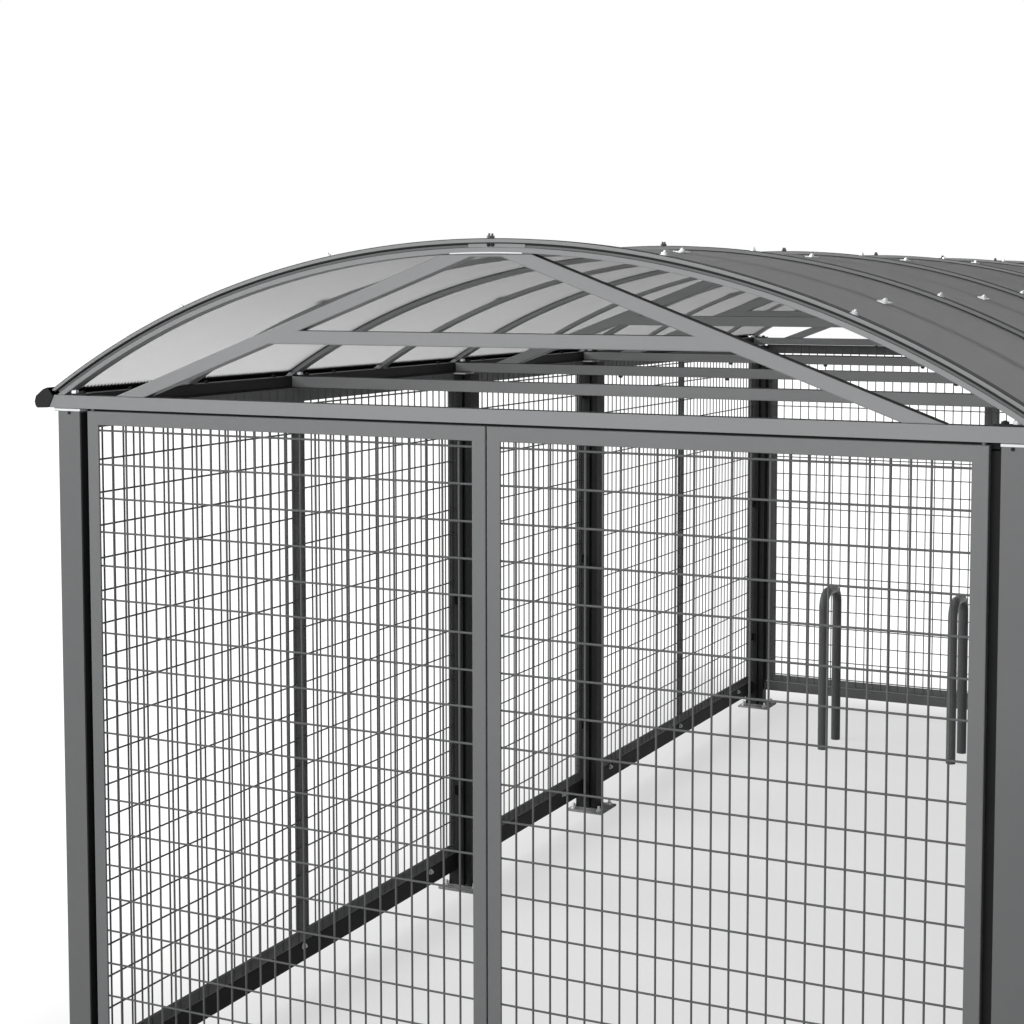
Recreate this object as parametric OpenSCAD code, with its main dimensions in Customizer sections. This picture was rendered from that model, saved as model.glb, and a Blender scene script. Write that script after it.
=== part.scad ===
// Cycle shelter: barrel-vault roof on steel frames, welded-mesh walls, double gates, hoops inside.
// Millimetres, +Z up, front faces -Y, origin on the ground under the middle of the plan.

/* [Frames] */
// distance from the centre line to the wall plane
wall_x = 1386; // [1200:5:1600]
// section of the posts
post = 80; // [60:5:120]
// depth of the front posts and of the rear posts
front_post_d = 50; // [30:1:80]
rear_post_d = 64; // [40:1:100]
// reach of the posts' inner flange from the wall plane
flange_in = 66; // [50:1:100]
// top of the posts
post_h = 2154; // [1900:1:2400]
// section of ties, ribs and truss bars
bar = 40; // [30:1:60]
// underside of the ties
tie_z = 2163; // [1920:1:2420]

/* [Walls] */
// width of one side panel
panel_w = 1158; // [900:1:1400]
// gap between a post and a panel
panel_gap = 19; // [5:1:30]
// width of the panel frames, and thickness of their flat bars
stile = 40; // [25:1:60]
flat = 5; // [4:0.5:10]
// height of the rail at a panel's head
head_rail = 51; // [30:1:80]
// side panels stand on this height
panel_z = 152; // [100:1:400]
// width of one rear panel
rear_panel_w = 1297; // [900:1:1400]
// foot and height of the base rails
rail_z = 78; // [20:1:200]
rail_h = 72; // [40:1:200]
// mesh wire
wire = 5; // [3:0.5:8]
// mesh pitch across and up
pitch_w = 50; // [25:1:100]
pitch_h = 100; // [50:1:200]
// set-back of the rear mesh from the back
rear_mesh = 14; // [8:1:40]

/* [Gates] */
// width of one leaf
leaf_w = 1316; // [1000:1:1400]
// half of the gap between the leaves
meet_gap = 2; // [1:0.5:8]
// foot and top of the leaves
leaf_z = 70; // [40:1:150]
leaf_top = 2156; // [1900:1:2300]
// thickness of the leaf's face, depth and thickness of its rim
face_t = 6; // [4:0.5:12]
rim_d = 24; // [18:1:40]
rim_t = 5; // [3:0.5:8]
// set-back of the leaf's mesh from its face
leaf_mesh = 13; // [8:1:20]
// pivot pin radius and its running clearance
pin_r = 8; // [5:0.5:12]
pin_fit = 0.05; // [0.02:0.01:0.1]

/* [Roof] */
// radius of the outer face of the cap bars, and height of its centre
roof_r = 2642; // [2200:1:3200]
roof_cz = 6; // [-400:1:400]
// thickness of cap bar, sheet and rib
cap_t = 11.5; // [6:0.5:20]
sheet_t = 10; // [4:0.5:16]
rib_t = 14.5; // [12:0.5:40]
// lower edge of the sheet above the tie, and its set-back at the two gables
sheet_drop = 24; // [2:1:40]
sheet_back = 12; // [0:1:30]
// slope of the truss rafters
rafter_deg = 20.5; // [15:0.5:30]
// gutter wall
gutter_t = 3; // [2:0.5:5]

/* [Feet] */
// base plate side and thickness, and its shift towards the inside under grooved posts
plate = 180; // [140:5:260]
plate_t = 10; // [6:1:20]
plate_in = 25; // [0:1:40]
// bolt spacing and hole radius
bolt_s = 130; // [100:5:200]
bolt_r = 7; // [5:0.5:10]

/* [Hoops] */
// tube diameter, leg spacing, height over all
hoop_d = 50; // [40:1:60]
hoop_w = 247; // [180:1:800]
hoop_h = 876; // [600:1:1000]
// distance between hoops, and from the back to their middle
hoop_gap = 700; // [500:10:1000]
hoop_back = 754; // [500:1:1200]

/* [Hidden] */
eps = 0.5;
// plan positions from front to back
y_front = -(front_post_d + 2 * post + 5 * panel_w + 6 * panel_gap + rear_post_d + 2) / 2;
y_p1 = y_front + front_post_d + panel_gap;
y_p2 = y_p1 + panel_w + 1;
y_post2 = y_p2 + panel_w + panel_gap;
y_p3 = y_post2 + post + panel_gap;
y_post3 = y_p3 + panel_w + panel_gap;
y_p4 = y_post3 + post + panel_gap;
y_p5 = y_p4 + panel_w + 1;
y_post5 = y_p5 + panel_w + panel_gap;
y_back = y_post5 + rear_post_d;
panel_y = [y_p1, y_p2, y_p3, y_p4, y_p5];
// front face of the bars of each frame
frame_y = [
  y_front,
  y_p2 - bar / 2,
  y_post2 + (post - bar) / 2,
  y_post3 + (post - bar) / 2,
  y_p5 - bar / 2,
  y_back - bar
];
mid_y = [for (i = [0:4]) (frame_y[i] + frame_y[i + 1]) / 2];
tie_top = tie_z + bar - 2;
// radii of the roof layers
cap_r = roof_r - cap_t;
sheet_r1 = cap_r - eps;
sheet_r0 = sheet_r1 - sheet_t;
rib_r1 = sheet_r0 - eps;
rib_r0 = rib_r1 - rib_t;
eaves_x = wall_x + 14;
// half spans of ribs, cap bars and sheets at the eaves
rib_half = 1440;
cap_half = 1447;
sheet_half = 1448;
pin_x = meet_gap + leaf_w - 14;
pin_y = y_front + 12;
// foot of the lower pins, reach of the upper pins into the tie
pin_foot = 42;
pin_reach = 28;
// stop strips behind the leaves: foot of the upper one, reach of the upright ones, set-back, thickness
stop_z = 2140;
stop_in = 40;
stop_back = 36;
stop_t = 3.5;
panel_top = tie_z - 2;
// heights of the lugs that hold the panels
lug_z = [400, 1200, 1980];
lug_h = 40;
// truss: outer and inner foot of a rafter, collar from below to above, head of the upper gap, flat apex
rafter_out = 1217;
rafter_in = 1111;
collar_z = [2363, 2401];
crown_z = 2600;
apex_z = 2607;
// eaves: section of the rail and of the gutter at the right-hand side, x and z
eaves_section = [[eaves_x, tie_z], [eaves_x + 60, tie_z], [eaves_x + bar, tie_top], [eaves_x, tie_top]];
gutter_outside = [
  [1442.5, 2197], [1458.8, 2166], [1466, 2162.5], [1501.7, 2161], [1508, 2166], [1512, 2180],
  [1506.5, 2197], [1479.5, 2217], [1464, 2222.5]
];
gutter_inside = [
  [1448, 2192], [1461, 2168.3], [1467, 2165.6], [1500, 2164.2], [1505.2, 2168], [1508.8, 2180],
  [1504, 2195], [1478, 2214], [1466, 2218], [1458, 2226], [1440, 2210]
];

// a box between two corners
module span(a, b) {
  translate(a) cube(b - a);
}

// base plate with its bolt holes, centred on x, y
module base_plate() {
  difference() {
    translate([-plate / 2, -plate / 2, 0]) cube([plate, plate, plate_t]);
    for (sx = [-1, 1], sy = [-1, 1])
      translate([sx * bolt_s / 2, sy * bolt_s / 2, -1]) cylinder(r = bolt_r, h = plate_t + 2, $fn = 48);
  }
}

// head plate between a post and the rail above it, from y to y + d
module head_plate(y, d) {
  span([wall_x - post / 2 - 1, y, post_h - 1], [eaves_x + bar, y + d, tie_z]);
}

// lug between a post and the panel beside it
module lugs(y) {
  for (z = lug_z)
    span([wall_x - 8, y - eps, z], [wall_x + 12, y + panel_gap, z + lug_h]);
}

// front post at the right-hand side, with head plate and bottom pivot bracket
module front_post() {
  bracket_z = 38;
  bracket_t = 14;
  translate([wall_x, y_front + post / 2, 0]) base_plate();
  span([wall_x - post / 2, y_front, 0], [wall_x + post / 2, y_front + front_post_d, post_h]);
  head_plate(y_front, front_post_d);
  difference() {
    span([pin_x - 30, y_front, bracket_z], [wall_x, y_front + front_post_d, bracket_z + bracket_t]);
    translate([pin_x, pin_y, bracket_z - 1]) cylinder(r = pin_r + pin_fit, h = bracket_t + 2, $fn = 64);
  }
  lugs(y_front + front_post_d);
  span([wall_x - post / 2 - stop_in, y_front + stop_back, leaf_z],
       [wall_x, y_front + stop_back + stop_t, post_h]);
}

// intermediate or rear post at the right-hand side: box, shadow groove, inner flange; plate_at in y
module grooved_post(y, d, plate_at, back_lugs) {
  box_in = 28;
  groove_in = 43;
  web = 16;
  translate([wall_x - plate_in, plate_at, 0]) base_plate();
  translate([wall_x, y, 0])
    linear_extrude(post_h)
      polygon([[post / 2, 0], [post / 2, d], [-box_in, d], [-box_in, d - web], [-groove_in, d - web],
               [-groove_in, d], [-flange_in, d], [-flange_in, 0], [-groove_in, 0], [-groove_in, web],
               [-box_in, web], [-box_in, 0]]);
  head_plate(y, d);
  lugs(y - panel_gap + eps);
  if (back_lugs) lugs(y + d);
}

// wire mesh in the plane u (across), v (up): bars of few sides, fused where they cross
module mesh(w, h, u0, v0, end, deep) {
  for (u = [u0 : pitch_w : w - stile])
    translate([u, 0, end]) cylinder(d = wire, h = h - 2 * end, $fn = 4);
  for (v = [v0 : pitch_h : h - stile])
    translate([end, -deep, v]) rotate([0, 90, 0]) cylinder(d = wire, h = w - 2 * end, $fn = 4);
}

// flat-bar frame with mesh on its face, standing in the x-z plane; bars from y = 0 to flat, mesh at y = 0
module flat_panel(w, h, u0, v0) {
  difference() {
    cube([w, flat, h]);
    translate([stile, -1, stile]) cube([w - 2 * stile, flat + 2, h - stile - head_rail]);
  }
  mesh(w, h, u0, v0, stile - 3, wire * 0.6);
}

// arc ring in the x-z plane, from y to y + d, above the height z
module roof_ring(r0, r1, y, d, z, half) {
  intersection() {
    translate([0, y + d, roof_cz]) rotate([90, 0, 0])
      difference() {
        cylinder(r = r1, h = d, $fn = 360);
        translate([0, 0, -1]) cylinder(r = r0, h = d + 2, $fn = 360);
      }
    span([-half, y - 1, z], [half, y + d + 1, roof_r + roof_cz + 50]);
  }
}

module arch(i) {
  roof_ring(rib_r0, rib_r1, frame_y[i], bar, tie_top + eps, rib_half);
  roof_ring(cap_r, roof_r, frame_y[i], bar, tie_top + 12, cap_half);
}

// truss bars of one frame: two rafters from the tie to the crown and a collar between them
module truss(y) {
  run = tan(rafter_deg);
  foot = tie_top + eps;
  // half width of the space between the rafters at the height z
  function half(z) = rafter_in - (z - foot) / run;
  low = foot - 4;
  apex_half = rafter_out - (apex_z - foot) / run;
  intersection() {
    translate([0, y + bar, 0]) rotate([90, 0, 0])
      linear_extrude(bar)
        difference() {
          polygon([[-rafter_out, foot], [rafter_out, foot], [apex_half, apex_z], [-apex_half, apex_z]]);
          for (gap = [[low, collar_z[0]], [collar_z[1], crown_z]])
            polygon([[-half(gap[0]), gap[0]], [half(gap[0]), gap[0]],
                     [half(gap[1]), gap[1]], [-half(gap[1]), gap[1]]]);
        }
    translate([0, y - 1, roof_cz]) rotate([-90, 0, 0]) cylinder(r = rib_r0 - eps, h = bar + 2, $fn = 360);
  }
}

module tie(y) {
  span([-eaves_x + eps, y, tie_z], [eaves_x - eps, y + bar, tie_top]);
}

module roof_sheet(i) {
  y0 = (i == 0) ? y_front + sheet_back : frame_y[i] + bar / 2 + 2;
  y1 = (i == 4) ? y_back - sheet_back : frame_y[i + 1] + bar / 2 - 2;
  roof_ring(sheet_r0, sheet_r1, y0, y1 - y0, tie_top + sheet_drop, sheet_half);
}

// tie of a gable: it runs on over the ends of the eaves rails and is cut to their slope
module end_tie(y) {
  tie(y);
  for (s = [0, 1])
    mirror([s, 0, 0]) translate([-1, 0, 0]) along_y(y, y + bar) polygon(eaves_section);
}

// bar of constant section along y at the right-hand side
module along_y(y0, y1) {
  translate([0, y1, 0]) rotate([90, 0, 0]) linear_extrude(y1 - y0) children();
}

// gutter at the right-hand side: trough open towards the roof, with closed ends
module gutter() {
  along_y(y_front, y_back)
    difference() {
      polygon(gutter_outside);
      polygon(gutter_inside);
    }
  for (y = [y_front - gutter_t, y_back])
    along_y(y, y + gutter_t) polygon(gutter_outside);
}

module base_rails() {
  gaps = [[y_front + front_post_d, y_post2], [y_post2 + post, y_post3], [y_post3 + post, y_post5]];
  for (g = gaps)
    span([wall_x, g[0], rail_z], [wall_x + bar, g[1], rail_z + rail_h]);
}

// side panel at the right-hand side, mesh on the inner face
module side_panel(i) {
  translate([wall_x, panel_y[i] + panel_w, panel_z]) rotate([0, 0, -90])
    flat_panel(panel_w, panel_top - panel_z, 76, 3 * pitch_h - panel_z);
}

// gate leaf at the right-hand side: face flange with a rim behind it, mesh, two pivot pins in corner blocks
module gate_leaf() {
  u0 = 79;
  h = leaf_top - leaf_z;
  block = 36;
  translate([meet_gap, y_front, leaf_z]) {
    difference() {
      cube([leaf_w, rim_d, h]);
      translate([rim_t, face_t, rim_t]) cube([leaf_w - 2 * rim_t, rim_d, h - 2 * rim_t]);
      translate([stile, -1, stile]) cube([leaf_w - 2 * stile, rim_d, h - 2 * stile]);
    }
    translate([0, leaf_mesh, 0]) mesh(leaf_w, h, u0, 2 * pitch_h - leaf_z, rim_t / 2, wire * 0.6);
    for (z = [0, h - block])
      translate([leaf_w - block, 0, z]) cube([block, rim_d, block]);
  }
  translate([pin_x, pin_y, pin_foot]) cylinder(r = pin_r, h = leaf_z + 1 - pin_foot, $fn = 64);
  translate([pin_x, pin_y, leaf_top - 1])
    cylinder(r = pin_r, h = tie_z + pin_reach - leaf_top + 1, $fn = 64);
}

// inverted-U hoop standing along y
module hoop() {
  r = hoop_d / 2;
  bend = 80;
  for (s = [0, 1])
    mirror([0, s, 0]) {
      translate([0, hoop_w / 2, 0]) cylinder(r = r, h = hoop_h - r - bend, $fn = 48);
      translate([0, hoop_w / 2 - bend, hoop_h - r - bend]) rotate([90, 0, 90])
        rotate_extrude(angle = 90, $fn = 48) translate([bend, 0]) circle(r = r, $fn = 48);
    }
  translate([0, -hoop_w / 2 + bend, hoop_h - r]) rotate([-90, 0, 0])
    cylinder(r = r, h = hoop_w - 2 * bend, $fn = 48);
}

module left() {
  mirror([1, 0, 0]) children();
}

module front_post_left() { color("#8f9296") left() front_post(); }
module front_post_right() { color("#8f9296") front_post(); }
module side_posts() {
  for (y = [y_post2, y_post3])
    grooved_post(y, post, y + post / 2, true);
}
module rear_post() { grooved_post(y_post5, rear_post_d, y_back - post / 2, false); }
module side_posts_left() { color("#8f9296") left() side_posts(); }
module side_posts_right() { color("#8f9296") side_posts(); }
module rear_post_left() { color("#8f9296") left() rear_post(); }
module rear_post_right() { color("#8f9296") rear_post(); }
// front tie with sockets for the pivot pins and a stop strip behind the leaves
module front_tie() {
  stop_half = wall_x - post / 2 - stop_in - eps;
  color("#8f9296") {
    difference() {
      end_tie(frame_y[0]);
      for (s = [-1, 1])
        translate([s * pin_x, pin_y, tie_z - 1]) cylinder(r = pin_r + pin_fit, h = pin_reach + 5, $fn = 64);
    }
    span([-stop_half, y_front + stop_back, stop_z], [stop_half, y_front + stop_back + stop_t, tie_z + 1]);
  }
}
module cross_ties() {
  color("#8f9296") {
    for (i = [1, 2, 3]) tie(frame_y[i]);
    end_tie(frame_y[5]);
  }
}
module eaves_rail() { along_y(y_front + bar + eps, y_back - bar - eps) polygon(eaves_section); }
module eaves_rail_left() { color("#7c7f83") left() eaves_rail(); }
module eaves_rail_right() { color("#7c7f83") eaves_rail(); }
module front_truss() { color("#8f9296") truss(frame_y[0]); }
module inner_trusses() { color("#8f9296") { truss(frame_y[2]); truss(frame_y[3]); } }
module rear_truss() { color("#8f9296") truss(frame_y[5]); }
module arch_1() { color("#85888c") arch(0); }
module arch_2() { color("#85888c") arch(1); }
module arch_3() { color("#85888c") arch(2); }
module arch_4() { color("#85888c") arch(3); }
module arch_5() { color("#85888c") arch(4); }
module arch_6() { color("#85888c") arch(5); }
module mid_ribs() {
  color("#85888c")
    for (y = mid_y)
      roof_ring(rib_r0, rib_r1, y, bar, tie_top + eps, rib_half);
}
module roof_sheet_1() { color("#d8dcdd") roof_sheet(0); }
module roof_sheet_2() { color("#d8dcdd") roof_sheet(1); }
module roof_sheet_3() { color("#d8dcdd") roof_sheet(2); }
module roof_sheet_4() { color("#d8dcdd") roof_sheet(3); }
module roof_sheet_5() { color("#d8dcdd") roof_sheet(4); }
module gutter_left() { color("#1c1d1f") left() gutter(); }
module gutter_right() { color("#1c1d1f") gutter(); }
module base_rail_left() { color("#6d7074") left() base_rails(); }
module base_rail_right() { color("#6d7074") base_rails(); }
module base_rail_rear() {
  reach = wall_x - flange_in;
  color("#6d7074") span([-reach, y_back - bar, rail_z + 22], [reach, y_back, rail_z + rail_h]);
}
module panel_left_1() { color("#74777b") left() side_panel(0); }
module panel_left_2() { color("#74777b") left() side_panel(1); }
module panel_left_3() { color("#74777b") left() side_panel(2); }
module panel_left_4() { color("#74777b") left() side_panel(3); }
module panel_left_5() { color("#74777b") left() side_panel(4); }
module panel_right_1() { color("#74777b") side_panel(0); }
module panel_right_2() { color("#74777b") side_panel(1); }
module panel_right_3() { color("#74777b") side_panel(2); }
module panel_right_4() { color("#74777b") side_panel(3); }
module panel_right_5() { color("#74777b") side_panel(4); }
module rear_panel() {
  translate([meet_gap, y_back - rear_mesh, panel_z])
    flat_panel(rear_panel_w, panel_top - panel_z, 79, 3 * pitch_h - panel_z);
}
module rear_panel_left() { color("#74777b") left() rear_panel(); }
module rear_panel_right() { color("#74777b") rear_panel(); }
module gate_leaf_left() { color("#8a8d91") left() gate_leaf(); }
module gate_leaf_right() { color("#8a8d91") gate_leaf(); }
module bike_hoops() {
  color("#5d6064")
    for (i = [-1:1])
      translate([i * hoop_gap, y_back - hoop_back, 0]) hoop();
}

front_post_left();
front_post_right();
side_posts_left();
side_posts_right();
rear_post_left();
rear_post_right();
front_tie();
cross_ties();
eaves_rail_left();
eaves_rail_right();
front_truss();
inner_trusses();
rear_truss();
arch_1();
arch_2();
arch_3();
arch_4();
arch_5();
arch_6();
mid_ribs();
roof_sheet_1();
roof_sheet_2();
roof_sheet_3();
roof_sheet_4();
roof_sheet_5();
gutter_left();
gutter_right();
base_rail_left();
base_rail_right();
base_rail_rear();
panel_left_1();
panel_left_2();
panel_left_3();
panel_left_4();
panel_left_5();
panel_right_1();
panel_right_2();
panel_right_3();
panel_right_4();
panel_right_5();
rear_panel_left();
rear_panel_right();
gate_leaf_left();
gate_leaf_right();
bike_hoops();
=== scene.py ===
# %% [markdown]
# A cycle shelter: a barrel-vault roof of clear fluted sheet on grey steel arches, welded-mesh
# walls on three sides, a pair of mesh gates at the front and hoops inside to lock cycles to.
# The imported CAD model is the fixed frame. This lesson dresses it: round wires in place of the
# square ones, fluted sheets, softened edges, bolts, nuts and paint, all in metres.

import math

import bmesh
import bpy
import numpy as np
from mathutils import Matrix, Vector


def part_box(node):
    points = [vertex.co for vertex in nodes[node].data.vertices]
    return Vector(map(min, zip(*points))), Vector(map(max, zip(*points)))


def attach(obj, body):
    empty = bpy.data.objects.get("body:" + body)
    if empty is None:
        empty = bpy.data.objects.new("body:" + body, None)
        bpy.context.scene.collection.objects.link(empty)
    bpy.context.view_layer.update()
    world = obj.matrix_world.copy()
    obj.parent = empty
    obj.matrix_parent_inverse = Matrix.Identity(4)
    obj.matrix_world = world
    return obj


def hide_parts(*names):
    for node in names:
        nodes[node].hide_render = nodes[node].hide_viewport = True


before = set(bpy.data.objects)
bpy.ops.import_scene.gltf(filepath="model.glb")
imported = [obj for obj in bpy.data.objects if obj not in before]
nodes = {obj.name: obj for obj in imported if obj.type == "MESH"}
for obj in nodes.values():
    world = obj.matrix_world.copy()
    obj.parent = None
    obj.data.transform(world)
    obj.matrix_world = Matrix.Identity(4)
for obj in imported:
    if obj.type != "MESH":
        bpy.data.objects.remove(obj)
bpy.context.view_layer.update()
scene = bpy.context.scene
scene.view_settings.view_transform = "Standard"
ROOT = "shelter"

# %% [markdown]
# The camera stands outside the right front corner, a little above head height, and looks in
# through the gates towards the left wall. A long focal length keeps the uprights nearly
# parallel, and the small shift holds the horizon where the photograph has it.

# %% Camera
FOCAL_MM = 65.607
SENSOR_MM = 36.0
CAMERA_PLACE = (2.2558, -7.4352, 2.5400)
LOOK_DOWN = 0.0725
LOOK_LEFT = 0.4483
SHIFT_ACROSS = -0.0299
SHIFT_UP = -0.0942

camera_data = bpy.data.cameras.new("camera")
camera_data.lens = FOCAL_MM
camera_data.sensor_width = SENSOR_MM
camera_data.shift_x = SHIFT_ACROSS
camera_data.shift_y = SHIFT_UP
camera = bpy.data.objects.new("camera", camera_data)
camera.location = CAMERA_PLACE
camera.rotation_euler = (math.pi / 2 - LOOK_DOWN, 0.0, LOOK_LEFT)
scene.collection.objects.link(camera)
scene.camera = camera
print("camera at", CAMERA_PLACE)

# %% [markdown]
# Shader maths reads best as plain expressions. One small class wraps a node socket: its
# operators add Math nodes, and one method adds any other node with its settings and inputs.


# %% Shader helper
class Socket:
    """A socket of a node tree. Operators on it add Math nodes and give back a new Socket."""

    def __init__(self, tree, out):
        self.tree = tree
        self.out = out

    def node(self, kind, settings=None, result=0, **inputs):
        """Adds a node of this kind, sets its settings, then its inputs, and returns an output."""
        made = self.tree.nodes.new(kind)
        for key, value in (settings or {}).items():
            setattr(made, key, value)
        for key, value in inputs.items():
            numbered = key[0] == "i" and key[1:].isdigit()
            socket = made.inputs[int(key[1:]) if numbered else key.replace("_", " ")]
            if isinstance(value, Socket):
                self.tree.links.new(value.out, socket)
            else:
                socket.default_value = value
        return Socket(self.tree, made.outputs[result])

    def maths(self, operation, a, b=0.0):
        """Math node of this operation on a and b."""
        return self.node("ShaderNodeMath", {"operation": operation}, i0=a, i1=b)

    def __add__(self, other):
        return self.maths("ADD", self, other)

    __radd__ = __add__

    def __mul__(self, other):
        return self.maths("MULTIPLY", self, other)

    __rmul__ = __mul__

    def __sub__(self, other):
        return self.maths("SUBTRACT", self, other)

    def __rsub__(self, other):
        return self.maths("SUBTRACT", other, self)

    def sine(self):
        return self.maths("SINE", self)

    def blend(self, low, high):
        """Colour that runs from low at 0 to high at 1."""
        return self.node("ShaderNodeMix", {"data_type": "RGBA"}, result=2, i0=self, i6=low, i7=high)


print("shader helper ready")

# %% [markdown]
# Every finish starts in the same way: a new material, its Principled shader and the object's own
# coordinates, so that a pattern stays with the steel when a gate swings. Three small functions
# keep that in one place. The photograph is grey, so colours are given as one number.


# %% Material helpers
def new_material(name):
    """An empty material with a Principled shader; gives the material, shader and coordinates."""
    material = bpy.data.materials.new(name)
    material.use_nodes = True
    tree = material.node_tree
    shader = tree.nodes["Principled BSDF"]
    coords = Socket(tree, tree.nodes.new("ShaderNodeTexCoord").outputs["Object"])
    return material, shader, coords


def feed(shader, coords, **values):
    """Links or sets the shader's inputs, underscores standing for spaces."""
    for key, value in values.items():
        socket = shader.inputs[key.replace("_", " ")]
        if isinstance(value, Socket):
            coords.tree.links.new(value.out, socket)
        else:
            socket.default_value = value


def grey(value, tint=0.0):
    """Neutral colour of that linear value, a little cooler with a positive tint."""
    return (value * (1 - tint), value, value * (1 + tint), 1.0)


print("material helpers ready")

# %% [markdown]
# Powder coat is an even satin paint with a faint orange-peel skin. Broad noise shifts its tone
# by a few percent, finer noise varies the gloss, and the finest one bends the normal. Faces that
# look up are nearly black in the photograph, so they may take a darker, duller tone of painted
# shade. The upward part of the normal finds them without any extra mesh.

# %% Powder coat
PLATE_TOP = 0.010
FOOT_FADE = (PLATE_TOP + 0.0005, PLATE_TOP + 0.0030)
TOP_SHADE_FADE = (0.60, 0.85)
COOL = 0.015


def mottled(tone, value, shift, tint=0.0):
    """Colour from value x (1 - shift) to value x (1 + shift) as the tone goes from 0 to 1."""
    return tone.blend(grey(value * (1 - shift), tint), grey(value * (1 + shift), tint))


def powder_coat(name, value, rough=0.42, gloss=0.18, foot=None, top=None):
    """Satin paint: tone = value x (0.90 to 1.10) by broad noise, bump by fine noise.
    With a foot value the lowest centimetre, the base plate, takes that tone instead.
    With a top value the faces that look up take that tone as painted shade and go dull."""
    material, shader, coords = new_material(name)
    broad = coords.node("ShaderNodeTexNoise", Vector=coords, Scale=2.3, Detail=4.0)
    patches = coords.node("ShaderNodeTexNoise", Vector=coords, Scale=31.0, Detail=3.0)
    skin = coords.node("ShaderNodeTexNoise", Vector=coords, Scale=620.0, Detail=2.0)
    tone = broad * 0.7 + patches * 0.3
    colour = mottled(tone, value, 0.10, COOL)
    if foot:
        height = coords.node("ShaderNodeSeparateXYZ", result=2, Vector=coords)
        raised = coords.node("ShaderNodeMapRange", i0=height, i1=FOOT_FADE[0], i2=FOOT_FADE[1])
        colour = raised.blend(mottled(tone, foot, 0.20), colour)
    dull = patches * 0.16 + (rough - 0.08)
    if top:
        normal = Socket(coords.tree, coords.out.node.outputs["Normal"])
        upward = coords.node("ShaderNodeSeparateXYZ", result=2, Vector=normal)
        painted_top_shade = coords.node("ShaderNodeMapRange", i0=upward, i1=TOP_SHADE_FADE[0], i2=TOP_SHADE_FADE[1])
        colour = painted_top_shade.blend(colour, mottled(tone, top, 0.20))
        dull = dull + painted_top_shade * 0.40
    feed(
        shader,
        coords,
        Base_Color=colour,
        Specular_IOR_Level=gloss,
        Roughness=dull,
        Normal=coords.node("ShaderNodeBump", Strength=0.05, Distance=0.0006, Height=skin),
    )
    return material


print("powder coat ready")

# %% [markdown]
# One paint could serve the whole frame, but in the photograph the front is pale, the posts and
# base rails are nearly black and their base plates are pale again. So each group of parts gets
# its own tone of the same coat, and the near-black of the posts, base rails and hoops is painted
# shade. The packers over the posts are plain white plastic.

# %% Paints
# The top value paints shade on the faces that look up.
frame_paint = powder_coat("frame powder coat", 0.218, top=0.02)
corner_paint = powder_coat("front post powder coat", 0.13)
leaf_paint = powder_coat("leaf powder coat", 0.155)
wire_paint = powder_coat("mesh powder coat", 0.10, rough=0.50)
# The near-black tones of posts, hoops and base rails are painted shade; the posts' base plates keep a pale
# tone.
shaded_post_paint = powder_coat("post powder coat", 0.022, rough=0.46, gloss=0.06, foot=0.22)
hoop_shade_paint = powder_coat("hoop powder coat", 0.088, rough=0.36)
rail_shade_paint = powder_coat("base rail powder coat", 0.018, rough=0.50, gloss=0.05)
packer_white = powder_coat("packer", 0.72, rough=0.55)
print("paints:", frame_paint.name, wire_paint.name, hoop_shade_paint.name, rail_shade_paint.name)

# %% [markdown]
# The gutter is a matt black profile, and the rubber seals share its finish. Bolts are zinc
# plated: a pale metal with small cloudy crystals, for which Voronoi cells fit better than noise.
# The bolts at the crown and under the ties are plated black.


# %% Gutter and zinc
def black_profile():
    """Matt black: almost even colour, roughness clouded by noise."""
    material, shader, coords = new_material("black gutter")
    cloud = coords.node("ShaderNodeTexNoise", Vector=coords, Scale=14.0, Detail=5.0)
    grain = coords.node("ShaderNodeTexNoise", Vector=coords, Scale=500.0)
    feed(
        shader,
        coords,
        Base_Color=cloud.blend(grey(0.010), grey(0.022)),
        Roughness=cloud * 0.2 + 0.45,
        Specular_IOR_Level=0.08,
        Normal=coords.node("ShaderNodeBump", Strength=0.05, Distance=0.0005, Height=grain),
    )
    return material


def zinc_plate(name, low, high):
    """Metal between two tones: Voronoi cells give the crystals, noise the handling marks."""
    material, shader, coords = new_material(name)
    cells = coords.node("ShaderNodeTexVoronoi", Vector=coords, Scale=260.0)
    marks = coords.node("ShaderNodeTexNoise", Vector=coords, Scale=40.0, Detail=4.0)
    feed(
        shader,
        coords,
        Base_Color=(cells * 0.6 + marks * 0.4).blend(grey(low, 0.02), grey(high, 0.02)),
        Roughness=marks * 0.25 + 0.28,
        Metallic=0.85,
        Normal=coords.node("ShaderNodeBump", Strength=0.08, Distance=0.0004, Height=marks),
    )
    return material


gutter_black = black_profile()
zinc = zinc_plate("zinc plate", 0.34, 0.62)
dark_zinc = zinc_plate("black zinc plate", 0.035, 0.07)
print("finishes:", gutter_black.name, zinc.name, dark_zinc.name)

# %% [markdown]
# The roof sheet is clear fluted plastic. Glass would show the sky too sharply: the real sheet
# spreads the light that it passes. So a translucent part is mixed with plain transparency, and
# a little gloss lies over both. The flutes run down the slope, so the opacity and the bump
# follow a wave across them.

# %% Clear sheet
FLUTE = 0.016
SPREAD_TONE = 0.58
SPREAD_SHARE = 0.95


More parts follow.
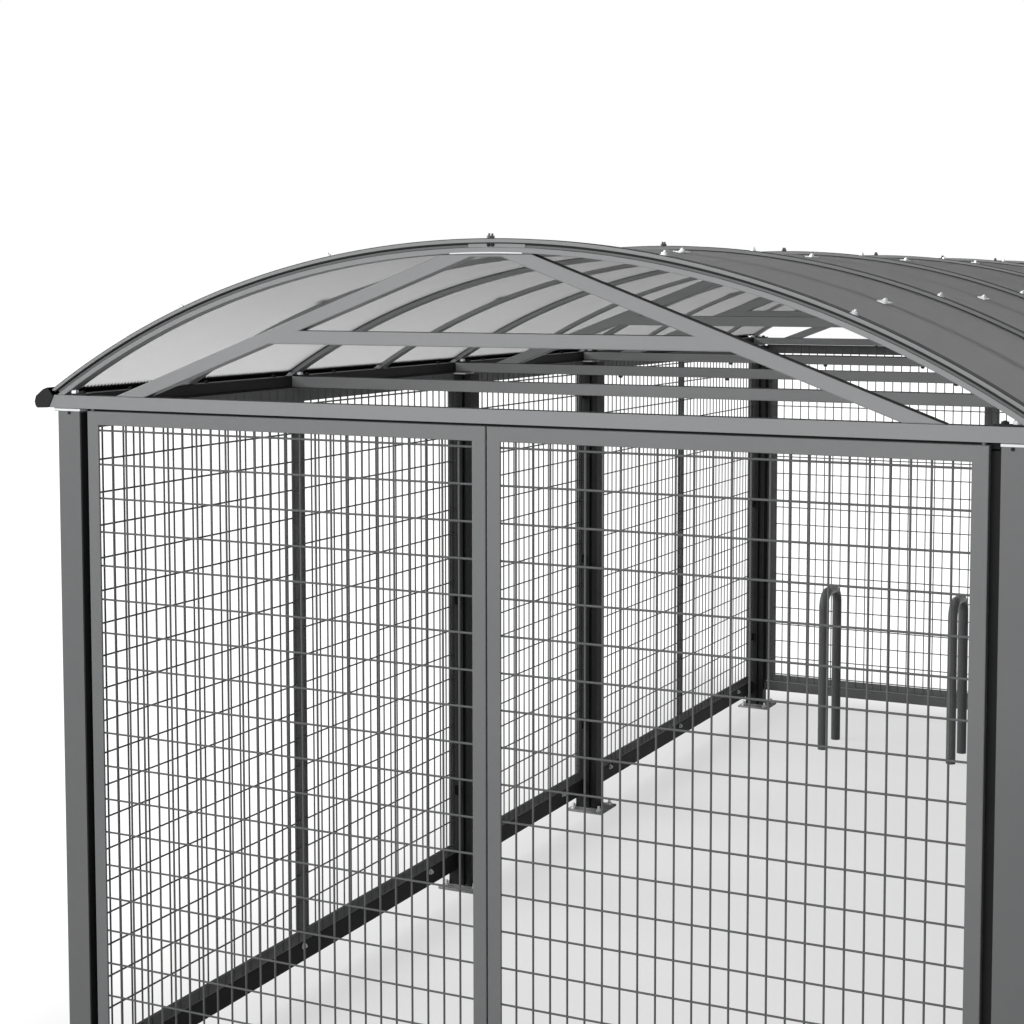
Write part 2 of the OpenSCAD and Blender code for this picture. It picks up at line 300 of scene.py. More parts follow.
def clear_sheet():
    """Fluted sheet: alpha = 0.42 + 0.08 x wave across the flutes + 0.10 x haze. Of the light
    that meets the plastic most passes through and spreads, the rest is thrown back with gloss."""
    material, shader, coords = new_material("clear fluted sheet")
    along = coords.node("ShaderNodeSeparateXYZ", result=1, Vector=coords)
    wave = (along * (2 * math.pi / FLUTE)).sine() * 0.5 + 0.5
    haze = coords.node("ShaderNodeTexNoise", Vector=coords, Scale=3.0, Detail=5.0)
    alpha = wave * 0.08 + haze * 0.10 + 0.42
    feed(
        shader,
        coords,
        Base_Color=haze.blend(grey(0.06, 0.02), grey(0.14, 0.02)),
        Roughness=haze * 0.12 + 0.42,
        Specular_IOR_Level=0.15,
        Alpha=alpha,
        Normal=coords.node("ShaderNodeBump", Strength=0.25, Distance=0.002, Height=wave),
    )
    open_air = coords.node("ShaderNodeBsdfTransparent")
    passing = coords.node("ShaderNodeBsdfTranslucent", Color=grey(SPREAD_TONE))
    spread = coords.node("ShaderNodeMixShader", i0=alpha, i1=open_air, i2=passing)
    gloss = Socket(coords.tree, shader.outputs[0])
    both = coords.node("ShaderNodeMixShader", i0=SPREAD_SHARE, i1=gloss, i2=spread)
    coords.tree.links.new(both.out, coords.tree.nodes["Material Output"].inputs["Surface"])
    return material


sheet_clear = clear_sheet()
print("finish:", sheet_clear.name)

# %% [markdown]
# Every new piece is a surface worked out with numpy. A part is a pair: an array of points and
# a list of face arrays. Parts are joined into one mesh, so a row of bolts is one object. Bmesh
# then turns all faces outwards, which spares each shape the care for its winding.


# %% From arrays to a piece
def quads(rows, cols, wrap):
    """Faces of a grid of rows x cols points; wrap joins the last column to the first."""
    r = np.arange(rows - 1)[:, None]
    c = np.arange(cols if wrap else cols - 1)[None, :]
    n = (c + 1) % cols
    this, after = r * cols, (r + 1) * cols
    return np.stack([this + c, this + n, after + n, after + c], -1).reshape(-1, 4)


def joined(parts):
    """Several parts as one: points stacked, face numbers moved on by the points before them."""
    points, faces, start = [], [], 0
    for part_points, part_faces in parts:
        points.append(part_points)
        faces.extend(f + start for f in part_faces)
        start += len(part_points)
    return np.concatenate(points), faces


def piece(name, parts, material, body=ROOT, sharp=35.0, stands_for=()):
    """Joins parts into a mesh object at the origin that rides on a body of the frame."""
    points, faces = joined(parts)
    mesh = bpy.data.meshes.new(name)
    sizes = np.concatenate([np.full(len(f), f.shape[1]) for f in faces])
    corners = np.concatenate([f.ravel() for f in faces])
    starts = np.concatenate([[0], np.cumsum(sizes)[:-1]])
    mesh.vertices.add(len(points))
    mesh.vertices.foreach_set("co", points.astype(np.float32).ravel())
    mesh.loops.add(len(corners))
    mesh.loops.foreach_set("vertex_index", corners.astype(np.int32))
    mesh.polygons.add(len(sizes))
    mesh.polygons.foreach_set("loop_start", starts.astype(np.int32))
    mesh.update(calc_edges=True)
    mesh.validate()
    work = bmesh.new()
    work.from_mesh(mesh)
    bmesh.ops.recalc_face_normals(work, faces=work.faces)
    work.to_mesh(mesh)
    work.free()
    mesh.polygons.foreach_set("use_smooth", np.ones(len(mesh.polygons), dtype=bool))
    mesh.set_sharp_from_angle(angle=math.radians(sharp))
    mesh.materials.append(material)
    made = bpy.data.objects.new(name, mesh)
    scene.collection.objects.link(made)
    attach(made, body)
    if stands_for:
        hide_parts(*stands_for)
    print(name, len(points), "points", len(sizes), "faces")
    return made


print("pieces can be made")

# %% [markdown]
# Two shapes are met all over the shelter: a bar of one section from here to there, and a round
# wire, pin or bolt. The bar is a profile carried along a line. Wires are worked out all at once,
# since a wall has dozens of them.


# %% Bars and wires
def frame_of(direction, up):
    """Two unit vectors across a direction: side = direction x up, and their cross product."""
    d = direction / np.linalg.norm(direction)
    side = np.cross(d, up)
    side = side / np.linalg.norm(side)
    return side, np.cross(side, d)


def rounded(width, height, radius, steps=3):
    """Rectangle with quarter-circle corners, as points anticlockwise."""
    turn = np.linspace(0, math.pi / 2, steps + 1)
    arc = radius * np.stack([np.cos(turn), np.sin(turn)], -1)
    spin = [np.array([[c, s], [-s, c]]) for c, s in ((1, 0), (0, 1), (-1, 0), (0, -1))]
    centre = np.array([width / 2 - radius, height / 2 - radius])
    signs = ((1, 1), (-1, 1), (-1, -1), (1, -1))
    return np.concatenate([arc @ m + centre * np.array(s) for m, s in zip(spin, signs)])


def swept(profile, start, end, up):
    """A closed profile carried along a straight line from start to end, with flat ends."""
    start, end = np.asarray(start, float), np.asarray(end, float)
    side, over = frame_of(end - start, np.asarray(up, float))
    ring = profile[:, :1] * side + profile[:, 1:] * over
    n = len(profile)
    first = np.arange(n)[None, :]
    faces = [quads(2, n, True)[:, ::-1], first, (first + n)[:, ::-1]]
    return np.concatenate([start + ring, end + ring]), faces


def wires(starts, ends, radius, sides=8):
    """Many straight round wires at once: a circle of points at each end, joined by quads."""
    starts, ends = np.asarray(starts, float), np.asarray(ends, float)
    axis = (ends - starts) / np.linalg.norm(ends - starts, axis=1, keepdims=True)
    helper = np.where(np.abs(axis[:, 2:]) > 0.9, [[1.0, 0, 0]], [[0, 0, 1.0]])
    side = np.cross(axis, helper)
    side = side / np.linalg.norm(side, axis=1, keepdims=True)
    over = np.cross(axis, side)
    turn = (np.arange(sides) * 2 * math.pi / sides)[None, :, None]
    ring = radius * (np.cos(turn) * side[:, None] + np.sin(turn) * over[:, None])
    points = np.stack([starts[:, None] + ring, ends[:, None] + ring], 1).reshape(-1, 3)
    base = np.arange(len(starts))[:, None, None] * 2 * sides
    wall = (base + quads(2, sides, True)[None]).reshape(-1, 4)
    cap = base[:, 0] + np.arange(sides)[None]
    return points, [wall, cap[:, ::-1], cap + sides]


print("bars and wires ready")

# %% [markdown]
# A wall panel is a ring of flat bar with welded mesh on its inner face: thin upright wires and,
# laid over them, level wires at twice the pitch. The CAD has square wires. Here each wire is a
# true round rod, and it runs on over the bars of the frame as welded mesh does.

# %% Framed mesh
WIRE_R = 0.0030
PITCH_ACROSS = 0.050
PITCH_UP = 0.100
OVERLAP = 0.0056
STILE = 0.040
HEAD_RAIL = 0.051
FLAT = 0.005
FLAT_EASE = 0.0012
EDGE = 0.006


def at(x, y, z):
    """Points from three coordinates of any shapes that go together."""
    return np.stack(np.broadcast_arrays(x, y, z), -1).astype(float)


def corners_of(node):
    """Low and high corner of a CAD node's box as arrays."""
    low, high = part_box(node)
    return np.array(low), np.array(high)


def ring_frame(low, high, profile, place, head=1.0):
    """A profile of (inset, depth) points carried round a rectangle: at each corner the inset goes
    along both sides, which mitres the bars. Insets at the top are stretched by head.
    place(across, depth, up) gives the points."""
    across = np.array([low[0], high[0], high[0], low[0]])[:, None]
    up = np.array([low[1], low[1], high[1], high[1]])[:, None]
    inwards = np.array([1.0, -1.0, -1.0, 1.0])[:, None]
    upwards = np.array([1.0, 1.0, -head, -head])[:, None]
    inset, depth = profile.T
    points = place(across + inwards * inset, depth, up + upwards * inset)
    n = len(profile)
    return points.reshape(-1, 3), [quads(5, n, True) % (4 * n)]


def comb(low, high, first, pitch):
    """Values first + k x pitch between low and high."""
    start = first + pitch * math.ceil((low - first) / pitch)
    return np.arange(start, high, pitch)


def welded_mesh(across, levels, sides, ends, plane, place):
    """Upright wires in the plane at the across values, level wires laid on them at the levels."""
    upright = [place(across, plane, end) for end in ends]
    level = [place(side, plane - OVERLAP, levels) for side in sides]
    return [wires(*upright, WIRE_R), wires(*level, WIRE_R)]


print("wire pitch", PITCH_ACROSS, "x", PITCH_UP)

# %% [markdown]
# Each side wall is a row of five such panels. The place of every panel comes from the CAD node
# that it stands for. The right wall hardly shows in the photograph, so it mirrors the left one.


# %% Side walls
def framed_panel(low, high, first_wire, plane, place):
    """Ring of flat bar behind the plane between two (across, up) corners, with mesh over it."""
    bar = rounded(STILE, FLAT, FLAT_EASE, steps=2) + np.array([STILE / 2, plane + FLAT / 2])
    parts = [ring_frame(low, high, bar, place, HEAD_RAIL / STILE)]
    sides, ends = (low[0] + EDGE, high[0] - EDGE), (low[1] + EDGE, high[1] - EDGE)
    across = comb(*sides, first_wire, PITCH_ACROSS)
    levels = comb(low[1] + STILE, ends[1], 0.0, PITCH_UP)
    return parts + welded_mesh(across, levels, sides, ends, plane, place)


def wall_plane(outward):
    """Gives the place function of a side wall: depth counts outwards from the wall's face."""
    return lambda across, depth, up: at(outward * (WALL_X + depth), across, up)


WALL_X = 1.386
SIDE_FIRST_WIRE = 0.032
for side, outward in (("left", -1.0), ("right", 1.0)):
    for number in range(1, 6):
        node = f"panel_{side}_{number}"
        low, high = corners_of(node)
        parts = framed_panel(low[1:], high[1:], low[1] + SIDE_FIRST_WIRE, 0.0, wall_plane(outward))
        piece(f"mesh_panel_{side}_{number}", parts, wire_paint, stands_for=[node])

# %% [markdown]
# The rear wall is two wider panels of the same make, so the same function serves, with another
# plane. Strips of flat bar behind it close the joints between panels and posts.

# %% Rear wall
REAR_MESH_Y = 3.076
REAR_FIRST_WIRE = 0.081
COVER_X = 1.312
COVER_W = 0.030
COVER_T = 0.002
ACROSS_UP = [0, 2]
for side in ("left", "right"):
    node = f"rear_panel_{side}"
    low, high = corners_of(node)
    parts = framed_panel(low[ACROSS_UP], high[ACROSS_UP], REAR_FIRST_WIRE, REAR_MESH_Y, at)
    piece(f"rear_mesh_panel_{side}", parts, wire_paint, stands_for=[node])

cover = rounded(COVER_W, COVER_T, COVER_T / 4)
cover_y = REAR_MESH_Y + FLAT + COVER_T / 2
parts = []
for x in (-COVER_X, 0.0, COVER_X):
    parts.append(swept(cover, (x, cover_y, low[2]), (x, cover_y, high[2]), (0, 1, 0)))
piece("rear_cover_strips", parts, wire_paint)

# %% [markdown]
# Each gate leaf is a ring of angle: a thin face with a rim behind it, mesh between the rims and
# a corner block with a round pivot pin at the foot and the top of its outer stile. The angle is
# one profile carried round a rectangle, as the flat bar of the walls was. A leaf rides on its
# own body, so it swings with the hinge. Both leaves have the same count of wires.

# %% Sizes of a gate leaf
FRONT_Y = -3.090
LEAF_FOOT = 0.070
LEAF_TOP = 2.156
LEAF_MESH = 0.0146
GATE_FIRST_WIRE = 0.079
FACE_T = 0.006
RIM_T = 0.005
RIM_D = 0.024
OUTER_EASE = 0.0015
INNER_EASE = 0.0012
BLOCK = 0.036
BLOCK_SLIM = 0.006
BLOCK_EASE = 0.002
PIN_R = 0.008
PIN_BACK = 0.012
PIN_IN = 0.014
PIN_ROOT = 0.004
UP = np.array([0.0, 0.0, 1.0])
angle_bar = np.array([
    (OUTER_EASE, 0.0), (STILE - INNER_EASE, 0.0), (STILE, INNER_EASE), (STILE, FACE_T),
    (RIM_T, FACE_T), (RIM_T, RIM_D), (0.0, RIM_D), (0.0, OUTER_EASE),
]) + np.array([0.0, FRONT_Y])
print("leaf", LEAF_TOP - LEAF_FOOT, "m high, angle of", len(angle_bar), "points")


# %% Gate leaves
def leaf_mesh(low, high):
    """Welded mesh from rim to rim of a leaf, a little behind its face."""
    across = comb(low[0] + STILE, high[0] - STILE, low[0] + GATE_FIRST_WIRE, PITCH_ACROSS)
    levels = comb(LEAF_FOOT + STILE, LEAF_TOP - STILE, 0.0, PITCH_UP)
    sides = (low[0] + RIM_T / 2, high[0] - RIM_T / 2)
    ends = (LEAF_FOOT + RIM_T / 2, LEAF_TOP - RIM_T / 2)
    return welded_mesh(across, levels, sides, ends, FRONT_Y + LEAF_MESH, at)


def leaf_ring(low, high, outer, inwards):
    """Ring of angle, and a block for a pin at the foot and top of the stile at x = outer."""
    parts = [ring_frame((low[0], LEAF_FOOT), (high[0], LEAF_TOP), angle_bar, at)]
    section = rounded(BLOCK - BLOCK_SLIM, RIM_D - FACE_T, BLOCK_EASE)
    mid = np.array([outer + inwards * BLOCK / 2, FRONT_Y + (RIM_D + FACE_T) / 2, 0.0])
    for foot in (LEAF_FOOT + RIM_T, LEAF_TOP - BLOCK):
        top = foot + BLOCK - RIM_T
        parts.append(swept(section, mid + UP * foot, mid + UP * top, (0, 1, 0)))
    return parts


def leaf_pins(low, high, outer, inwards):
    """Two round pins on the hinge's axis, each from just inside the ring to the CAD box's end."""
    x, y = outer + inwards * PIN_IN, FRONT_Y + PIN_BACK
    feet = at(x, y, np.array([low[2], LEAF_TOP - PIN_ROOT]))
    tops = at(x, y, np.array([LEAF_FOOT + PIN_ROOT, high[2]]))
    return [wires(feet, tops, PIN_R, sides=24)]


for side, inwards in (("left", 1.0), ("right", -1.0)):
    node = f"gate_leaf_{side}"
    body = f"{side}_gate"
    low, high = corners_of(node)
    outer = low[0] if inwards > 0 else high[0]
    lattice = leaf_mesh(low, high)
    ring = leaf_ring(low, high, outer, inwards)
    pins = leaf_pins(low, high, outer, inwards)
    piece(f"leaf_mesh_{side}", lattice, wire_paint, body=body, stands_for=[node])
    piece(f"leaf_{side}", ring, leaf_paint, body=body, stands_for=[node])
    # The pins' black tone is painted shade of the gaps at the leaf's ends.
    piece(f"leaf_pins_{side}", pins, dark_zinc, body=body, stands_for=[node])

# %% [markdown]
# The roof sheet is carried along the arch: one parameter runs round the arc, the other across
# the flutes. The upper skin is smooth and the lower one a triangle wave. A bump alone would
# leave the sheet's edge straight, so the flutes are real.

# %% Roof sheets
ROOF_CENTRE_Z = 0.006
ARC_STEPS = 56
SHEET_THICK = 0.010
SKIN = 0.0012


def arc_points(radius, angle, y):
    """Points of the vault: x = r sin a, z = centre + r cos a."""
    return at(radius * np.sin(angle), y, ROOF_CENTRE_Z + radius * np.cos(angle))


def fluted_sheet(node):
    """Closed sheet: outer radius even, inner radius a triangle wave of the flute pitch."""
    low, high = corners_of(node)
    outer = high[2] - ROOF_CENTRE_Z
    reach = math.asin(min(high[0], -low[0]) / outer)
    half_angle = min(reach, math.acos((low[2] - ROOF_CENTRE_Z) / outer))
    rows, cols = ARC_STEPS + 1, max(2, int(round((high[1] - low[1]) / FLUTE)) * 2 + 1)
    y = np.linspace(low[1], high[1], cols)[None, :]
    angle = np.linspace(-half_angle, half_angle, rows)[:, None]
    inner = outer - SHEET_THICK + (np.arange(cols) % 2)[None, :] * (SHEET_THICK - SKIN)
    top = arc_points(outer, angle, y).reshape(-1, 3)
    under = arc_points(inner, angle, y).reshape(-1, 3)
    grid = quads(rows, cols, False)
    n = rows * cols
    index = np.arange(n).reshape(rows, cols)
    rims = []
    for line in (index[0], index[-1][::-1], index[::-1, 0], index[:, -1]):
        rims.append(np.stack([line[:-1], line[1:], line[1:] + n, line[:-1] + n], -1))
    return np.concatenate([top, under]), [grid, grid[:, ::-1] + n] + rims


sheet_nodes = [f"roof_sheet_{number}" for number in range(1, 6)]
for number, node in enumerate(sheet_nodes, 1):
    parts = [fluted_sheet(node)]
    piece(f"fluted_sheet_{number}", parts, sheet_clear, sharp=20.0, stands_for=[node])

# %% [markdown]
# A row of dark teeth shows at the sheet's lower edge: the shade in the ends of the flutes over
# the gutters. It is painted shade, made as thin black triangles, one to a flute, under both eaves.

# %% Flute shade teeth
SHADE_TEETH_REACH = 0.018
SHADE_TEETH_LOW = 0.0016
SHADE_TEETH_HIGH = 0.0004


def flute_shade_teeth(node):
    """Thin triangles on the sheet's underside: base along the eaves, tip a reach up the slope."""
    low, high = corners_of(node)
    outer = high[2] - ROOF_CENTRE_Z
    inner = outer - SHEET_THICK
    edge = math.acos((low[2] - ROOF_CENTRE_Z) / outer)
    count = int(round((high[1] - low[1]) / FLUTE))
    y = np.linspace(low[1], high[1], count + 1)
    tip = edge - SHADE_TEETH_REACH / inner
    corners = [(edge, y[:-1]), (tip, (y[:-1] + y[1:]) / 2), (edge, y[1:])]
    points = []
    for sign in (-1.0, 1.0):
        for radius in (inner - SHADE_TEETH_LOW, inner - SHADE_TEETH_HIGH):
            points += [arc_points(radius, sign * angle, across) for angle, across in corners]
    points = np.stack(points, 1).reshape(-1, 3)
    base = np.arange(2 * count)[:, None] * 6
    sides = [base + np.array([a, b, b + 3, a + 3]) for a, b in ((0, 1), (1, 2), (2, 0))]
    return points, [base + np.arange(3), base + np.arange(3, 6), np.concatenate(sides)]


parts = [flute_shade_teeth(node) for node in sheet_nodes]
piece("flute_shade_strips", parts, gutter_black)

# %% [markdown]
# Rubber closes the slot between rib and cap bar. Thin lips of it show on each side of every cap
# bar, and at both gables the slot shows a black gasket over the paler edge of the sheet. A thin
# black strip on top of each cap bar is painted shade. All are strips of the vault between two
# radii.

# %% Gaskets
ROOF_R = 2.642
CAP_T = 0.0115
BAR = 0.040
CAP_HALF = 1.440
LIP = 0.004
LIP_HALF_T = 0.0015
SLOT = 0.0105
SLOT_SPLIT = 0.0045
SLOT_SET_BACK = 0.001
SLOT_DEPTH = 0.010
SLOT_SHORT = 0.004
CAP_TOP_SHADE_T = 0.001
CAP_FOOT_R = ROOF_R - CAP_T


def arc_strip(r0, r1, y0, y1, half_angle, steps=96, middle=0.0):
    """Strip of the vault between two radii and two y values, closed all round."""
    angle = middle + np.linspace(-half_angle, half_angle, steps + 1)
    corners = [(r0, y0), (r0, y1), (r1, y1), (r1, y0)]
    points = np.stack([arc_points(r, angle, y) for r, y in corners], 1)
    first = np.arange(4)[None, :]
    return points.reshape(-1, 3), [quads(steps + 1, 4, True), first, first + steps * 4]


frame_fronts = [float(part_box(f"arch_{number}")[0][1]) for number in range(1, 7)]
front_y, rear_y = frame_fronts[0], frame_fronts[5] + BAR
cap_reach = math.asin(CAP_HALF / ROOF_R)
slot_reach = cap_reach - SLOT_SHORT
parts, edges = [], []
for y in frame_fronts:
    r0, r1 = CAP_FOOT_R - LIP_HALF_T, CAP_FOOT_R + LIP_HALF_T
    parts.append(arc_strip(r0, r1, y - LIP, y + BAR + LIP, cap_reach))
for y0 in (front_y + SLOT_SET_BACK, rear_y - SLOT_SET_BACK - SLOT_DEPTH):
    y1, split = y0 + SLOT_DEPTH, CAP_FOOT_R - SLOT_SPLIT
    parts.append(arc_strip(split, CAP_FOOT_R, y0, y1, slot_reach))
    edges.append(arc_strip(CAP_FOOT_R - SLOT, split, y0, y1, slot_reach))
# Black strip on the top of each cap bar: painted shade.
for y in frame_fronts:
    parts.append(arc_strip(ROOF_R, ROOF_R + CAP_TOP_SHADE_T, y, y + BAR, cap_reach))
piece("gaskets_and_cap_top_shade", parts, gutter_black)
piece("sheet_edge_strips", edges, hoop_shade_paint)

# %% [markdown]
# Dark lines round the gates are the shade in the gaps there, painted as thin black strips: a flat
# one on the inner face of each front post, one over the stop behind the leaf and one along the
# head.

# %% Painted shade round the gates
SHADE_POST_X = 1.3448
SHADE_POST_W = 0.042
SHADE_POST_T = 0.002
SHADE_POST_Y = FRONT_Y + 0.025
SHADE_POST_Z = (0.070, 2.150)
SHADE_STOP_X = 1.3257
SHADE_STOP_W = 0.038
SHADE_STRIP_T = 0.0008
SHADE_STRIP_Y = FRONT_Y + 0.0362
SHADE_STOP_Z = (0.080, 2.145)
SHADE_HEAD_X = 1.3455
SHADE_HEAD_W = 0.0222
SHADE_HEAD_Z = 2.1521
post_shade_strip = rounded(SHADE_POST_W, SHADE_POST_T, SHADE_POST_T / 4)
stop_shade_strip = rounded(SHADE_STOP_W, SHADE_STRIP_T, SHADE_STRIP_T / 4)
head_shade_strip = rounded(SHADE_STRIP_T, SHADE_HEAD_W, SHADE_STRIP_T / 4)
parts = []
for sign in (-1.0, 1.0):
    foot, top = at(sign * SHADE_POST_X, SHADE_POST_Y, np.array(SHADE_POST_Z))
    parts.append(swept(post_shade_strip, foot, top, (1, 0, 0)))
    foot, top = at(sign * SHADE_STOP_X, SHADE_STRIP_Y, np.array(SHADE_STOP_Z))
    parts.append(swept(stop_shade_strip, foot, top, (0, 1, 0)))
parts.append(swept(head_shade_strip, (-SHADE_HEAD_X, SHADE_STRIP_Y, SHADE_HEAD_Z), (SHADE_HEAD_X, SHADE_STRIP_Y, SHADE_HEAD_Z), UP))
piece("gate_shade_strips", parts, gutter_black)

# %% [markdown]
# Between the panels' heads and the eaves rails no daylight shows, only shade. A thin black strip
# along each wall closes that slit as painted shade.

# %% Eaves shade strips
FILL_X = 1.394
FILL_Z = 2.162
FILL_W = 0.018
FILL_T = 0.0028
FILL_EASE = 0.0006
FILL_FRONT = FRONT_Y + 0.052
FILL_REAR = -FRONT_Y - 0.066
eaves_shade_strip = rounded(FILL_W, FILL_T, FILL_EASE)
parts = []
for sign in (-1.0, 1.0):
    x = sign * FILL_X
    parts.append(swept(eaves_shade_strip, (x, FILL_FRONT, FILL_Z), (x, FILL_REAR, FILL_Z), UP))
piece("eaves_shade_strips", parts, gutter_black)

# %% [markdown]
# Posts, ties, trusses, ribs and rails keep their CAD solids. Rolled tube has rounded corners,
# so a Weld joins the loose triangles and a small Bevel rounds every edge that turns sharply.
# Live modifiers leave the CAD mesh itself untouched. The hoops are round already.

# %% Softened steelwork
TUBE_EASE = 0.003
STRIP_EASE = 0.0015
GUTTER_EASE = 0.001
WELD_REACH = 0.00002
SHARP_TURN = math.radians(50)


def painted(node, material):
    """Gives a CAD node one paint; returns its object."""
    target = nodes[node]
    target.data.materials.clear()
    target.data.materials.append(material)
    return target


def softened(node, width, material):
    """Paints a CAD node and rounds edges that turn by more than the sharp angle."""
    target = painted(node, material)
    weld = target.modifiers.new("weld", "WELD")
    weld.merge_threshold = WELD_REACH
    bevel = target.modifiers.new("round edges", "BEVEL")
    bevel.width = width
    bevel.segments = 2
    bevel.limit_method = "ANGLE"
    bevel.angle_limit = SHARP_TURN
    bevel.harden_normals = False


PAIRS = ("left", "right")
ties = ["front_tie", "cross_ties", "front_truss", "inner_trusses", "rear_truss"]
arches = [f"arch_{number}" for number in range(1, 7)] + ["mid_ribs"]
fronts = [f"front_post_{side}" for side in PAIRS]
shaded = [f"{part}_{side}" for part in ("side_posts", "rear_post", "eaves_rail") for side in PAIRS]
rails = [f"base_rail_{side}" for side in PAIRS]
gutters = [f"gutter_{side}" for side in PAIRS]
# Posts, base rails and hoops take the coats with painted shade.
groups = [
    (ties, TUBE_EASE, frame_paint),
    (fronts, TUBE_EASE, corner_paint),
    (shaded, TUBE_EASE, shaded_post_paint),
    (arches, STRIP_EASE, frame_paint),
    (rails, TUBE_EASE, rail_shade_paint),
    (["base_rail_rear"], TUBE_EASE, hoop_shade_paint),
    (gutters, GUTTER_EASE, gutter_black),
]
for group, width, material in groups:
    for node in group:
        softened(node, width, material)
painted("bike_hoops", hoop_shade_paint)
print("painted", sum(len(group) for group, width, material in groups) + 1, "CAD nodes")

# %% [markdown]
# Bolts hold everything together. Each is a washer, a six-sided nut and a stud, which are all
# short wires with few sides, so the function for wires makes them too. Over the cap bars sit
# pale bolts down the slopes and a pair of black ones at the crown.

# %% Cap bar bolts
NUT_SINK = 0.0005
WASHER_T = 0.002
CROWN_BOLT = dict(nut_r=0.0062, nut_h=0.008, stud_r=0.003, stud_h=0.014)
CAP_BOLT = dict(nut_r=0.0075, nut_h=0.006, stud_r=0.0035, stud_h=0.011, washer_r=0.011)
CROWN_BACK = (0.014, 0.032)
CROWN_ANGLE = np.array([0.0015])
end_angles = np.array([-0.382, -0.188, 0.188, 0.382])
bolt_angles = np.array([-0.347, -0.1165, 0.1165, 0.347])


def bolt_set(places, normals, nut_r, nut_h, stud_r, stud_h, washer_r=0.0):
    """Washer, six-sided nut and stud at each place, standing along each normal."""
    base, normals = np.asarray(places, float), np.asarray(normals, float)
    parts = []
    if washer_r:
        parts.append(wires(base, base + normals * WASHER_T, washer_r, sides=16))
        base = base + normals * WASHER_T
    parts.append(wires(base - normals * NUT_SINK, base + normals * nut_h, nut_r, sides=6))
    parts.append(wires(base, base + normals * stud_h, stud_r, sides=10))
    return parts


def on_arc(angles, radius, y):
    """Places and outward normals on the vault at these angles."""
    return arc_points(radius, angles, y), at(np.sin(angles), 0.0, np.cos(angles))


crown, parts = [], []
for y in frame_fronts:
    for back in CROWN_BACK:
        crown += bolt_set(*on_arc(CROWN_ANGLE, ROOF_R, y + back), **CROWN_BOLT)
    angles = end_angles if y in (frame_fronts[0], frame_fronts[5]) else bolt_angles
    parts += bolt_set(*on_arc(angles, ROOF_R, y + BAR / 2), **CAP_BOLT)
piece("crown_bolts", crown, dark_zinc)
piece("cap_bar_bolts", parts, zinc)

# %% [markdown]
# Half way between the frames the sheet is held down on a single rib by saddle clamps: small
# plates, wider than the rib, with a bolt through the sheet.

# %% Saddle clamps
SADDLE_BOLT = dict(nut_r=0.0065, nut_h=0.005, stud_r=0.0035, stud_h=0.008, washer_r=0.009)
SADDLE_W = 0.028
SADDLE_L = 0.074
SADDLE_T = 0.003
SADDLE_EASE = 0.004
SADDLE_SINK = 0.0005
saddle = rounded(SADDLE_W, SADDLE_L, SADDLE_EASE)
middles = [(a + b) / 2 + BAR / 2 for a, b in zip(frame_fronts, frame_fronts[1:])]
parts = []
for y in middles:
    spots, normals = on_arc(bolt_angles, CAP_FOOT_R - SADDLE_SINK, y)
    for spot, normal in zip(spots, normals):
        parts.append(swept(saddle, spot, spot + normal * SADDLE_T, (0, 1, 0)))
    parts += bolt_set(spots + normals * SADDLE_T, normals, **SADDLE_BOLT)
piece("saddle_clamps", parts, zinc)

# %% [markdown]
# Angle cleats tie each arch foot to the tie below. Only the flat leg of a cleat shows, so it is a
# plate with a dark bolt near its inner end and a large pale nut near the arch.

# %% Arch cleats
CLEAT_BOLT = dict(nut_r=0.010, nut_h=0.006, stud_r=0.005, stud_h=0.008)
CLEAT_NUT = dict(nut_r=0.0125, nut_h=0.009, stud_r=0.006, stud_h=0.011)
TIE_TOP = 2.201
CLEAT_W = 0.030
CLEAT_T = 0.005
CLEAT_EASE = 0.001
CLEAT_X = (1.325, 1.398)
CLEAT_BOLT_X = 1.350
CLEAT_NUT_X = 1.380
CLEAT_FRAMES = (0, 1, 2, 3, 5)
plate = rounded(CLEAT_W, CLEAT_T, CLEAT_EASE)
parts, cleats = [], []
for index in CLEAT_FRAMES:
    y = frame_fronts[index] + BAR / 2
    for sign in (-1.0, 1.0):
        inner, outer = at(sign * np.array(CLEAT_X), y, TIE_TOP + CLEAT_T / 2)
        cleats.append(swept(plate, inner, outer, UP))
        top = TIE_TOP + CLEAT_T
        cleats += bolt_set([[sign * CLEAT_BOLT_X, y, top]], [UP], **CLEAT_BOLT)
        parts += bolt_set([[sign * CLEAT_NUT_X, y, top]], [UP], **CLEAT_NUT)
piece("arch_cleats", cleats, shaded_post_paint)
piece("cleat_nuts", parts, zinc)

# %% [markdown]
# Bolt ends hang under the ties of the inner and rear trusses, and a row of screws holds the eaves
# trim. One more screw shows on the face of each front post.

# %% Tie bolts and eaves screws
TIE_BOLT = dict(nut_r=0.009, nut_h=0.008, stud_r=0.005, stud_h=0.010)
TRIM_SCREW = dict(nut_r=0.0065, nut_h=0.005, stud_r=0.003, stud_h=0.006, washer_r=0.009)
POST_SCREW = dict(nut_r=0.005, nut_h=0.003, stud_r=0.0025, stud_h=0.004)
FORWARD = [0.0, -1.0, 0.0]
TIE_FOOT = 2.163
TIE_BOLT_X = np.array([-0.667, -0.22, 0.22, 0.667])
TIE_BOLT_FRAMES = (2, 3, 5)
TRIM_X = 1.420
TRIM_ROWS = np.arange(-2.757, 3.0, 0.396)
POST_SCREW_X = (-1.384, 1.373)
POST_SCREW_Z = 2.1495
parts = []
for index in TIE_BOLT_FRAMES:
    spots = at(TIE_BOLT_X, frame_fronts[index] + BAR / 2, TIE_FOOT)
    parts += bolt_set(spots, [-UP] * len(spots), **TIE_BOLT)
piece("tie_bolts", parts, dark_zinc)

